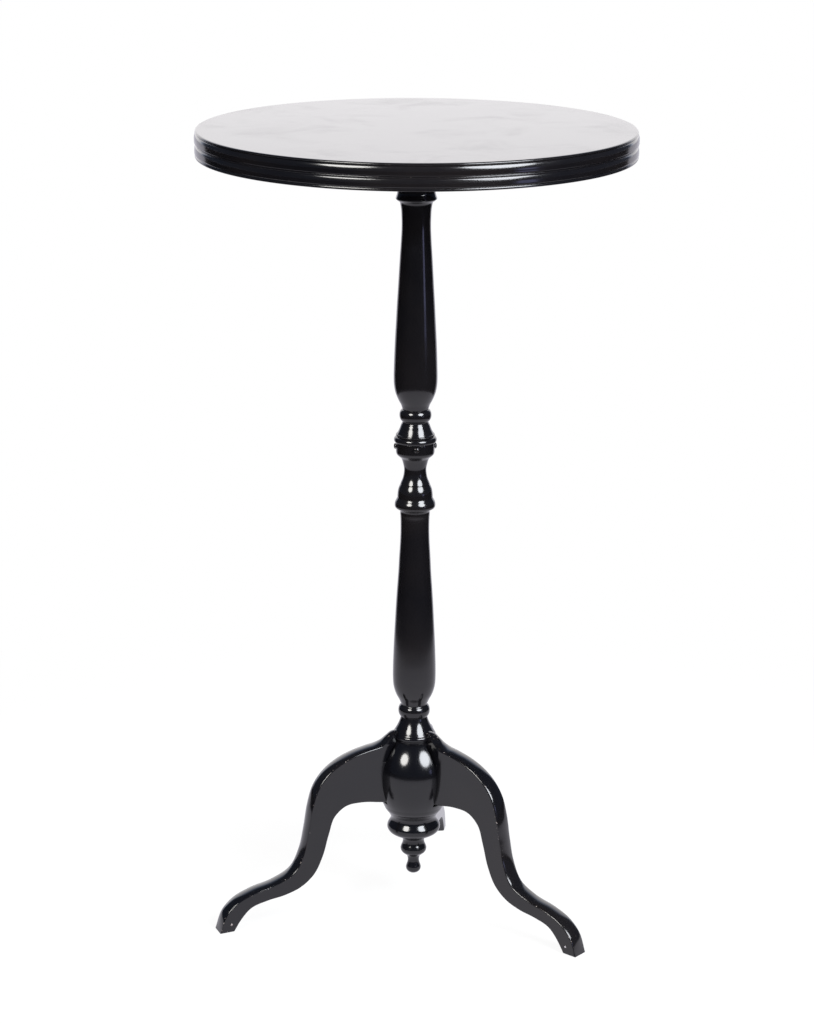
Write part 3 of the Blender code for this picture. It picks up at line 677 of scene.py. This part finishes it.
def strike_plate():
    """The plate on the block's rear edge, and its two screws."""
    low = (-STRIKE_HALF, STRIKE_FRONT, STRIKE_BOTTOM)
    high = (STRIKE_HALF, STRIKE_BACK, STRIKE_TOP)
    strike = as_object("strike", box_shape(low, high, 0.35, 2))
    carve(strike, [bolt_mouth(STRIKE_FRONT - 1, STRIKE_BACK + 1)])
    finish_piece(strike, "strike_plate", "base", brass_fitting)
    turn = Matrix.Rotation(math.radians(90), 4, "X")
    for side, word in ((-1, "left"), (1, "right")):
        screw = slotted_screw(2.8, 1.3, 1.5, 11.0, 20 + 50 * side)
        place = (side * STRIKE_SCREW_X, STRIKE_BACK + GAP, BOLT_MIDDLE)
        place_screw(screw, f"strike_screw_{word}", "base", brass_fitting, place, turn)


def build_catch():
    catch_plate()
    bolt_and_knob()
    rest = CATCH_PLATE_BOTTOM - GAP
    for number, (corner, (x, y)) in enumerate(CATCH_SCREWS.items()):
        screw = slotted_screw(3.1, 1.5, 1.5, TOP_UNDERSIDE + 8.0 - rest, 40 + 67 * number)
        node = f"catch_screw_{corner}"
        place_screw(screw, node, "tilting_top", brass_fitting, (x, y, rest))
    strike_plate()


# ---------------------------------------------------------------- block

def build_block():
    """The block on the column's head, rounded in front, with a pintle at each end."""
    nose = arc(PIVOT_Y, PIVOT_Z, BLOCK_NOSE_RADIUS, BLOCK_NOSE_RADIUS, 90, 180, 12)
    front = PIVOT_Y - BLOCK_NOSE_RADIUS
    outline = [*nose, (front, BLOCK_BOTTOM), (BLOCK_HALF, BLOCK_BOTTOM), (BLOCK_HALF, BLOCK_TOP)]
    item = as_object("block", plate_shape(outline, BLOCK_HALF, 0.9))
    reach = BEARER_OFFSET + BEARER_WIDTH / 2 - 0.5
    pintles = rod_shape((-reach, PIVOT_Y, PIVOT_Z), (reach, PIVOT_Y, PIVOT_Z), PINTLE_RADIUS, 48)
    carve(item, [pintles], "UNION")
    radius = HEAD_TENON_RADIUS + GAP
    cuts = [rod_shape((0, 0, BLOCK_BOTTOM - 1), (0, 0, BLOCK_TOP + 1), radius, 96)]
    cuts.append(bolt_mouth(BOLT_TIP - 3, BLOCK_HALF + 1))
    for x in (-STRIKE_SCREW_X, STRIKE_SCREW_X):
        inner, outer = BLOCK_HALF - STRIKE_BORE_DEPTH, BLOCK_HALF + 1
        cuts.append(rod_shape((x, inner, BOLT_MIDDLE), (x, outer, BOLT_MIDDLE), STRIKE_BORE_RADIUS, 24))
    carve(item, cuts)
    finish_piece(item, "pivot_block", "base", lacquer_under)
    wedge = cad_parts["block_wedge"]
    wedge.data.materials.clear()
    wedge.data.materials.append(wedge_wood)


# ---------------------------------------------------------------- column

def build_upper_column():
    """Head tenon, capital, vase, bead, bell, flange and the spigot into the collar."""
    profile = joined(
        [(0, HEAD_TENON_TOP), (HEAD_TENON_RADIUS - 0.4, HEAD_TENON_TOP)],
        [(HEAD_TENON_RADIUS, HEAD_TENON_TOP - 0.5), (HEAD_TENON_RADIUS, BLOCK_BOTTOM - GAP)],
        [(20.6, BLOCK_BOTTOM - GAP), (21.0, BLOCK_BOTTOM - 0.8), (21.0, 701.9)],
        flowing([(21.0, 701.9), (20.7, 701.2), (19.4, 699.4), (18.1, 696.8), (17.35, 693.6)], 4),
        flowing([(17.35, 693.6), (17.25, 691.4), (17.7, 689.4), (18.4, 687.2), (18.7, 686.4)], 4),
        arc(18.1, 685.75, 0.75, 0.95, 40, -62, 6),
        flowing([(18.45, 684.9), (17.2, 683.8), (15.7, 682.9), (14.9, 681.6), (14.4, 679.4)], 4),
        flowing([
            (14.4, 679.4), (13.8, 675.2), (13.5, 669.3), (13.32, 661.9), (13.85, 647.3),
            (14.8, 632.5), (15.65, 617.8), (16.5, 602.9), (17.4, 588.1), (18.15, 573.2),
            (18.95, 558.2), (19.6, 543.2), (20.07, 528.2), (20.22, 520.6), (19.95, 513.1),
            (18.6, 505.5), (15.5, 498.0), (13.3, 493.8), (12.0, 489.8),
        ], 5),
        arc(11.3, 484.1, 3.5, 5.8, 70, -70, 12),
        flowing([(12.2, 478.3), (12.15, 477.2), (12.8, 475.9), (13.3, 474.9)], 3),
        flowing([(13.3, 474.9), (14.5, 471.4), (15.8, 468.6), (16.95, 466.4)], 4),
        arc(16.95, 465.4, 1.1, 1.05, 80, -62, 8),
        [(17.35, 464.2)],
        flowing([(17.9, 463.9), (18.7, 463.4), (19.4, 462.4), (19.75, 461.0), (19.6, 459.7)], 4),
        [(19.2, SOCKET_TOP + GAP)],
        [(SOCKET_RADIUS - GAP, SOCKET_TOP + GAP), (SOCKET_RADIUS - GAP, SOCKET_FLOOR + 0.5)],
        [(0, SOCKET_FLOOR + 0.5)],
    )
    item = mesh_object("upper", turned_mesh("upper", profile, TURNED_SEGMENTS))
    kerf = box_shape(
        (-KERF_HALF, -HEAD_TENON_RADIUS - 1, HEAD_TENON_TOP - KERF_DEPTH),
        (KERF_HALF, HEAD_TENON_RADIUS + 1, HEAD_TENON_TOP + 1),
    )
    carve(item, [kerf])
    finish_piece(item, "upper_column", "base", lacquer_turned, 40.0)


def build_lower_column():
    """Collar, neck, baluster, vase, bead, bell and ball, housed for the three legs."""
    easing = COLLAR_EASING
    profile = joined(
        [(0, SOCKET_FLOOR), (SOCKET_RADIUS, SOCKET_FLOOR), (SOCKET_RADIUS, SOCKET_TOP)],
        [(COLLAR_RADIUS - easing, SOCKET_TOP)],
        arc(COLLAR_RADIUS - easing, SOCKET_TOP - easing, easing, easing, 90, 0, 4),
        [(COLLAR_RADIUS, 450.0)],
        flowing([
            (COLLAR_RADIUS, 450.0), (17.75, 448.6), (17.3, 447.2), (16.2, 445.9),
            (14.6, 444.6), (12.9, 442.9),
        ], 4),
        flowing([
            (12.9, 442.9), (12.0, 440.6), (11.2, 437.6), (10.5, 434.4), (10.3, 432.0),
            (10.45, 429.6), (10.85, 426.6), (11.6, 423.6), (12.6, 421.0), (13.35, 419.3),
            (13.55, 418.7),
        ], 4),
        flowing([(13.55, 418.7), (13.55, 418.2), (13.7, 417.9)], 2),
        flowing([
            (13.7, 417.9), (14.3, 416.7), (14.95, 415.2), (15.5, 413.6), (15.95, 411.6),
            (16.25, 409.2), (16.4, 407.2), (16.4, 405.6),
        ], 4),
        flowing([
            (16.35, 405.6), (16.7, 404.6), (17.6, 403.0), (18.45, 401.2), (18.88, 399.2),
            (18.9, 397.6), (18.3, 396.0), (16.6, 394.8), (15.2, 394.0),
        ], 4),
        flowing([
            (15.2, 394.0), (14.2, 393.2), (13.8, 389.6), (13.4, 379.2), (13.7, 363.6),
            (14.6, 348.1), (15.4, 332.4), (16.5, 316.8), (17.5, 301.0), (18.3, 285.3),
            (19.1, 269.4), (19.75, 253.6), (20.2, 237.6), (20.2, 229.7), (19.6, 221.2),
            (17.3, 213.2), (14.3, 207.4), (12.4, 203.2),
        ], 5),
        arc(11.5, 196.3, 3.4, 6.0, 68, -68, 12),
        flowing([(12.4, 190.2), (13.2, 187.2), (15.2, 182.2), (17.6, 177.6), (19.6, 174.6)], 4),
        arc(19.1, 171.6, 1.6, 2.6, 70, -70, 10),
        [(19.6, 168.4)],
        arc(BALL_RADIUS - BALL_SIDE, BALL_MIDDLE, BALL_SIDE, BALL_SIDE, 45, 0, 20),
        arc(0, BALL_MIDDLE, BALL_RADIUS, BALL_DROP, -3, -36, 12),
        flowing([(29.1, 102.2), (28.3, 100.2), (27.2, 98.0), (25.6, BALL_FLOOR)], 4),
        [(SPIGOT_RADIUS + GAP, BALL_FLOOR), (SPIGOT_RADIUS + GAP, SPIGOT_TOP + 1), (0, SPIGOT_TOP + 1)],
    )
    item = mesh_object("lower", turned_mesh("lower", profile, TURNED_SEGMENTS))
    cuts = []
    for azimuth in LEG_AZIMUTHS.values():
        half = LEG_HALF + GAP
        low = (LEG_ROOT - GAP, -half, LEG_ROOT_BOTTOM - GAP)
        housing = box_shape(low, (BALL_RADIUS + 5, half, LEG_HOUSING_TOP))
        bmesh.ops.transform(housing, matrix=turned_about(azimuth), verts=housing.verts)
        cuts.append(housing)
    carve(item, cuts)
    finish_piece(item, "lower_column", "base", lacquer_turned, 40.0)


def build_finial():
    """The turned drop below the ball, with the spigot that holds it."""
    profile = joined(
        [(0, SPIGOT_TOP), (SPIGOT_RADIUS, SPIGOT_TOP), (SPIGOT_RADIUS, BALL_FLOOR - GAP)],
        flowing([
            (25.2, BALL_FLOOR - GAP), (24.6, 94.6), (23.4, 92.7), (22.2, 90.4), (21.8, 88.2),
            (22.4, 86.0), (24.0, 83.2), (25.1, 80.6), (25.2, 78.2), (24.0, 75.4), (20.0, 72.2),
            (15.0, 69.8), (11.4, 67.4), (10.3, 64.8), (10.5, 62.0), (11.6, 59.2), (12.4, 56.4),
            (11.7, 53.4), (9.4, 51.0), (6.8, 49.0), (5.5, 45.8), (5.4, 43.2), (6.2, 40.0),
            (7.1, 36.8), (6.4, 33.6), (4.0, 31.4), (0, 30.6),
        ], 5),
    )
    item = mesh_object("finial", turned_mesh("finial", profile, TURNED_SEGMENTS))
    finish_piece(item, "drop_finial", "base", lacquer_turned, 40.0)


def build_collar_screws():
    for word, angle in COLLAR_ANGLES.items():
        screw = slotted_screw(2.8, 1.8, 1.5, 11.0, 35 + angle * 0.7)
        place = radial_point(angle, COLLAR_RADIUS + GAP, COLLAR_SCREW_HEIGHT)
        turn = turned_about(angle) @ Matrix.Rotation(math.radians(-90), 4, "Y")
        place_screw(screw, f"collar_screw_{word}", "base", steel_screw, place, turn)


# ---------------------------------------------------------------- legs

LEG_INNER = [
    (183.8, 0.0), (177.0, 10.5), (167.0, 20.8), (151.0, 26.0), (133.0, 29.2), (116.5, 35.3),
    (103.5, 46.4), (95.0, 63.0), (88.5, 85.0), (82.5, 101.6), (72.0, 110.2), (56.0, 112.0),
    (38.0, 109.8), (LEG_ROOT, LEG_ROOT_BOTTOM),
]
LEG_INSIDE = [
    (LEG_ROOT, LEG_EAR_BOTTOM), (LEG_EAR_INNER, LEG_EAR_BOTTOM),
]
LEG_OUTER = [
    (LEG_EAR_INNER, LEG_EAR_TOP), (22.4, 177.6), (27.6, 174.0), (32.4, 170.2),
    (38.0, 167.4), (48.0, 165.2), (62.0, 161.6), (78.0, 154.8), (91.5, 144.7),
    (101.0, 131.6), (106.6, 114.2), (110.6, 91.2), (115.6, 69.3), (123.9, 53.1),
    (141.2, 43.6), (164.2, 37.4), (181.3, 29.6), (193.2, 17.2), (197.8, 0.0),
]


def ring_cope():
    """A cutter just outside the column's base ring and bell, for the ears to fit round."""
    profile = [(0, 178.8), (17.6, 178.8), (19.8, 174.2), (21.05, 172.2), (21.05, 160), (0, 160)]
    mesh = turned_mesh("cope", profile, TURNED_SEGMENTS)
    shape = bmesh.new()
    shape.from_mesh(mesh)
    bpy.data.meshes.remove(mesh)
    return shape


def leg_crowns(inner, outer):
    """How far each outline point's edge falls away at the leg's sides."""
    crowns = [0.6] * len(inner) + [0.0] * len(LEG_INSIDE)
    for x, z in outer:
        reach = min(1.0, (x - LEG_EAR_INNER) / EAR_CROWN_REACH)
        ridge = 0.5 + 0.5 * math.cos(math.pi * reach)
        crowns.append((LEG_CROWN + EAR_CROWN * ridge) * min(1.0, z / FOOT_CROWN_HEIGHT))
    return crowns


def inward_normals(outline, corner):
    """Normals of a clockwise outline, X right and Z up; the corner keeps its next side's."""
    normals = []
    count = len(outline)
    for number in range(count):
        before, here, after = outline[number - 1], outline[number], outline[(number + 1) % count]
        first = Vector((here[1] - before[1], before[0] - here[0])).normalized()
        second = Vector((after[1] - here[1], here[0] - after[0])).normalized()
        if here == corner:
            first = second  # the ear's ridge falls away straight down from its inner corner
        middle = (first + second).normalized()
        normals.append(middle / max(0.35, middle.dot(first)))
    return normals


def edge_rows():
    """(inset, across) rows over a leg's edge, from one side over both arrises to the other."""
    half, arris = LEG_HALF, LEG_ARRIS
    side = [(arris + 0.5, -half)]
    for step in range(5):
        angle = math.radians(90 * step / 4)
        side.append((arris - arris * math.sin(angle), -half + arris - arris * math.cos(angle)))
    spans = 8
    width = half - arris
    flat = [(0.0, -width + 2 * width * step / spans) for step in range(1, spans)]
    return [*side, *flat, *((inset, -across) for inset, across in reversed(side))]


def leg_shape():
    """A leg sawn from a plank: X outwards, Z up, its edges crowned and arrises eased."""
    inner = flowing(LEG_INNER, 6)
    outer = flowing(LEG_OUTER, 6)
    outline = [*inner, *LEG_INSIDE, *outer]
    crowns = leg_crowns(inner, outer)
    normals = inward_normals(outline, outer[0])
    count = len(outline)
    shape = bmesh.new()
    rings = []
    for inset, across in edge_rows():
        ring = []
        for (x, z), normal, crown in zip(outline, normals, crowns):
            depth = inset + crown * (across / LEG_HALF) ** 2
            ring.append(shape.verts.new(metres(x + normal.x * depth, across, z + normal.y * depth)))
        rings.append(ring)
    for low, high in zip(rings, rings[1:]):
        for number in range(count):
            after = (number + 1) % count
            shape.faces.new((low[number], low[after], high[after], high[number]))
    shape.faces.new(list(reversed(rings[0])))
    shape.faces.new(rings[-1])
    bmesh.ops.recalc_face_normals(shape, faces=shape.faces)
    return shape


def ear_chamfers():
    """Wedges that pare both sides of the ear down towards the column."""
    cuts = []
    for side in (-1, 1):
        low, high = sorted((0.0, side * EAR_CHAMFER_DEPTH))
        near = (-EAR_CHAMFER_LENGTH, low, EAR_CHAMFER_BOTTOM)
        shape = box_shape(near, (0.0, high, LEG_EAR_TOP + 10))
        turn = turned_about(side * EAR_CHAMFER_ANGLE)
        matrix = Matrix.Translation(metres(EAR_CHAMFER_START, side * LEG_HALF, 0)) @ turn
        bmesh.ops.transform(shape, matrix=matrix, verts=shape.verts)
        cuts.append(shape)
    return cuts


def foot_pin(word, azimuth):
    """A pin with a low domed head in one side of a foot, the front side on left and right."""
    face = 1 if word == "right" else -1
    direction = azimuth - 90 * face
    base = Vector(radial_point(azimuth, PIN_FROM_AXIS, PIN_HEIGHT))
    out = Vector(radial_point(direction, LEG_HALF + GAP, 0))
    head = arc(0, 0, PIN_HEAD_RADIUS, 0.4, 0, -90, 8)
    shank = [(0, PIN_LENGTH), (PIN_RADIUS, PIN_LENGTH), (PIN_RADIUS, 0), (PIN_HEAD_RADIUS, 0)]
    pin = mesh_object("pin", turned_mesh("pin", joined(shank, head), 32))
    stand = turned_about(direction + 90) @ Matrix.Rotation(math.radians(-90), 4, "X")
    pin.data.transform(Matrix.Translation(metres(*(base + out))) @ stand)
    finish_piece(pin, f"foot_pin_{word}", "base", bright_pin, 40.0)


def build_legs():
    for word, azimuth in LEG_AZIMUTHS.items():
        item = as_object("leg", leg_shape())
        carve(item, ear_chamfers())
        carve(item, [box_shape(*LEG_TENON)], "UNION")
        carve(item, [ring_cope()])
        item.data.transform(turned_about(azimuth))
        finish_piece(item, f"leg_{word}", "base", lacquer_legs, 30.0)
        foot_pin(word, azimuth)


build_top()
build_bearers()
build_catch()
build_block()
build_upper_column()
build_lower_column()
build_finial()
build_collar_screws()
build_legs()


# ---------------------------------------------------------------- studio

CAMERA_AZIMUTH = math.radians(8.453)  # from -Y towards +X
FLOOR_RADIUS = 14.0  # the studio's sizes are in metres
FLOOR_DROP = 0.0004
FLOOR_TINT = (0.90, 0.88, 0.98, 1)
SURROUND_INNER = 0.95
SURROUND_OUTER = 13.0
SURROUND_REACH = 138.0  # degrees to each side of the camera
SURROUND_HEIGHT = 0.002
CARD_DISTANCE = 2.6
LIGHT_TARGET = Vector((0, 0, 0.45))
WORLD_DARK = 0.07
WORLD_BRIGHT = 1.75
WORLD_FILL = 0.4


def plain(name, colour, strength=None):
    """A matt stage colour, or one that shines by itself."""
    material = bpy.data.materials.new(name)
    material.use_nodes = True
    shader = material.node_tree.nodes["Principled BSDF"]
    shader.inputs["Base Color"].default_value = colour
    shader.inputs["Roughness"].default_value = 0.9
    shader.inputs["Specular IOR Level"].default_value = 0.0
    if strength is not None:
        shader.inputs["Emission Color"].default_value = colour
        shader.inputs["Emission Strength"].default_value = strength
    return material


def paper():
    """Pale matt paper with faint shadows, that fades to even white further out."""
    n = Surface("paper")
    n.shader.inputs["Base Color"].default_value = (0.86, 0.86, 0.86, 1)
    n.shader.inputs["Roughness"].default_value = 0.9
    n.shader.inputs["Specular IOR Level"].default_value = 0.0
    length = n.node("VectorMath", {0: n.place}, operation="LENGTH").outputs["Value"]
    away = n.spread(length, 0.25, 0.9, 0.88, 1.0)
    seen = n.node("LightPath", {}).outputs["Is Camera Ray"]
    tint = n.mix(seen, FLOOR_TINT, (1, 1, 1, 1))
    glow = n.node("Emission", {"Color": tint, "Strength": 1.0})
    both = n.shaders(away, n.shader.outputs[0], glow.outputs[0])
    n.link(both, n.tree.nodes["Material Output"].inputs["Surface"])
    return n.material


def floor_disc():
    shape = bmesh.new()
    bmesh.ops.create_circle(shape, cap_ends=True, segments=96, radius=FLOOR_RADIUS)
    item = as_object("studio_floor", shape)
    item.data.materials.append(paper())
    item.location.z = -FLOOR_DROP


def dark_surround():
    """A flat part ring of black cloth round the camera's side, for reflections only."""
    shape = bmesh.new()
    steps = 64
    rings = []
    for radius in (SURROUND_INNER, SURROUND_OUTER):
        ring = []
        for step in range(steps + 1):
            turn = SURROUND_REACH * (2 * step / steps - 1)
            angle = math.radians(turn - 90) + CAMERA_AZIMUTH
            place = (radius * math.cos(angle), radius * math.sin(angle), SURROUND_HEIGHT)
            ring.append(shape.verts.new(place))
        rings.append(ring)
    near, far = rings
    for step in range(steps):
        shape.faces.new((near[step], far[step], far[step + 1], near[step + 1]))
    item = as_object("dark_surround", shape)
    item.data.materials.append(plain("black_cloth", (0.012, 0.012, 0.014, 1)))
    only_in_reflections(item)


def only_in_reflections(item):
    item.visible_camera = False
    item.visible_diffuse = False
    item.visible_shadow = False
    item.visible_transmission = False


def blue_card():
    """A narrow upright card to the right, which draws the dim stripe along the column."""
    shape = bmesh.new()
    corners = []
    for turn, height in ((50, 0.26), (61, 0.26), (61, 0.54), (50, 0.54)):
        angle = math.radians(turn - 90) + CAMERA_AZIMUTH
        place = (CARD_DISTANCE * math.cos(angle), CARD_DISTANCE * math.sin(angle), height)
        corners.append(shape.verts.new(place))
    shape.faces.new(corners)
    item = as_object("blue_card", shape)
    item.data.materials.append(plain("blue_card", (0.55, 0.58, 1.0, 1), 1.2))
    only_in_reflections(item)


def softbox(name, azimuth, elevation, distance, diameter, colour, power):
    """A round soft light aimed at the table; angles from the camera's side, in degrees."""
    angle = CAMERA_AZIMUTH + math.radians(azimuth)
    rise = math.radians(elevation)
    level = math.cos(rise)
    way = Vector((math.sin(angle) * level, -math.cos(angle) * level, math.sin(rise)))
    lamp = bpy.data.lights.new(name, "AREA")
    lamp.shape = "DISK"
    lamp.size = diameter
    lamp.color = colour
    lamp.energy = power
    item = bpy.data.objects.new(name, lamp)
    bpy.context.scene.collection.objects.link(item)
    item.location = LIGHT_TARGET + way * distance
    item.rotation_euler = way.to_track_quat("Z", "Y").to_euler()


def studio_world():
    """White to the eye; in reflections white behind the table and dark in front."""
    world = bpy.data.worlds.new("studio")
    bpy.context.scene.world = world
    world.use_nodes = True
    world.node_tree.nodes.clear()
    n = Nodes(world.node_tree)
    place = n.node("TexCoord", {}).outputs["Generated"]
    turn = n.node("VectorRotate", {"Vector": place, "Angle": -CAMERA_AZIMUTH}, rotation_type="Z_AXIS")
    away = n.node("SeparateXYZ", {"Vector": turn.outputs["Vector"]})
    back, up = away.outputs["Y"], away.outputs["Z"]
    level = n.math("SQRT", n.math("SUBTRACT", 1.0, n.product(up, up)))
    behind = n.spread(n.math("DIVIDE", back, level), 0.74, 0.86)
    below = n.spread(up, 0.40, 0.85, 1.0, 0.0)
    sweep = n.product(behind, below)
    tint = n.mix(sweep, (0.62, 0.85, 1.35, 1), (1.0, 0.98, 1.0, 1))  # a cool dark, a plain white
    strength = n.spread(sweep, 0.0, 1.0, WORLD_DARK, WORLD_BRIGHT)
    glossy = n.node("Background", {"Color": tint, "Strength": strength}).outputs[0]
    fill = n.node("Background", {"Color": (1, 1, 1, 1), "Strength": WORLD_FILL}).outputs[0]
    seen = n.node("Background", {"Color": (1, 1, 1, 1), "Strength": 1.0}).outputs[0]
    path = n.node("LightPath", {})
    unseen = n.shaders(path.outputs["Is Glossy Ray"], fill, glossy)
    both = n.shaders(path.outputs["Is Camera Ray"], unseen, seen)
    n.node("OutputWorld", {"Surface": both})


def place_camera():
    """The camera's place and turns: level distance, height, pitch, yaw and roll."""
    distance, height = 2.6693, 1.1435
    pitch, yaw, roll = math.radians(15.748), 0.00279, math.radians(0.222)
    heading = CAMERA_AZIMUTH + yaw
    level = Vector((-math.sin(heading), math.cos(heading), 0))
    across = Vector((level.y, -level.x, 0))
    up = Vector((0, 0, 1))
    forward = math.cos(pitch) * level - math.sin(pitch) * up
    rise = math.cos(pitch) * up + math.sin(pitch) * level
    right = math.cos(roll) * across + math.sin(roll) * rise
    top = math.cos(roll) * rise - math.sin(roll) * across
    matrix = Matrix((right, top, -forward)).transposed().to_4x4()
    place = Vector((math.sin(CAMERA_AZIMUTH), -math.cos(CAMERA_AZIMUTH), 0)) * distance
    matrix.translation = place + up * height
    data = bpy.data.cameras.new("camera")
    data.sensor_width = 36.0
    data.lens = 104.745
    item = bpy.data.objects.new("camera", data)
    bpy.context.scene.collection.objects.link(item)
    item.matrix_world = matrix
    bpy.context.scene.camera = item


floor_disc()
dark_surround()
blue_card()
softbox("softbox_left", -37, 30, 3.6, 1.6, (1.0, 0.985, 0.95), 135)
softbox("softbox_right", 43, 29, 2.8, 1.75, (0.92, 0.95, 1.0), 160)
studio_world()
place_camera()
bpy.context.scene.view_settings.view_transform = "Standard"
